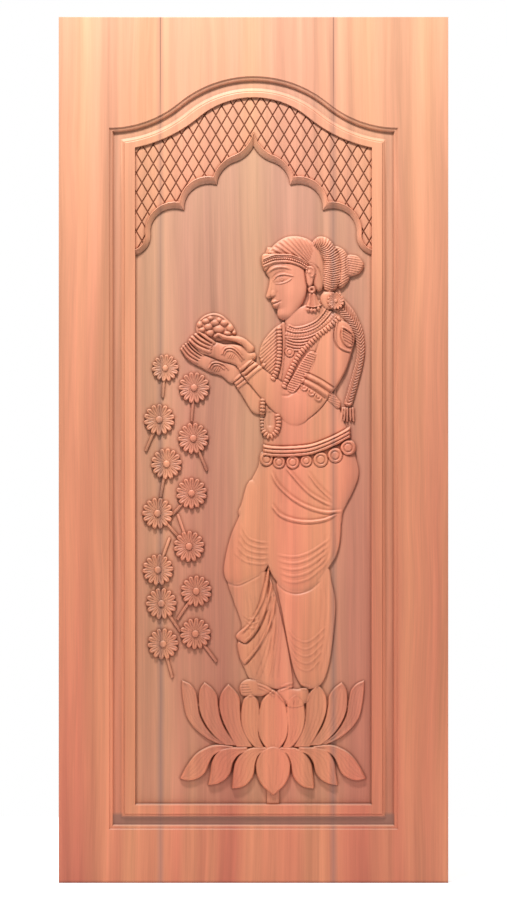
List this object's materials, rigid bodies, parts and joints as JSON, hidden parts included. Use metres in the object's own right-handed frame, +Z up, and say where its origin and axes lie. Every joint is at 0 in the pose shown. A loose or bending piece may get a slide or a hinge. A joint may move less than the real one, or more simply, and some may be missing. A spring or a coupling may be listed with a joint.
{
  "type": "carved temple door leaf",
  "caption": "Solid wooden door leaf of edge-joined boards, front carved in relief: moulded ogee border, lattice over a cusped arch, standing figure on a lotus, and flowers.",
  "frame": {"origin": "middle of the leaf's bottom edge, half way through its thickness", "axes": "+Z up the leaf, carved front faces -Y, +X to the right as seen from the front"},
  "size_m": [0.914, 0.04, 2.032],
  "materials": {
    "timber": "smooth oiled hardwood, pinkish tan with fine upright grain streaks"
  },
  "bodies": {
    "root": {"left_board": "timber", "middle_board": "timber", "right_board": "timber"}
  },
  "joints": []
}
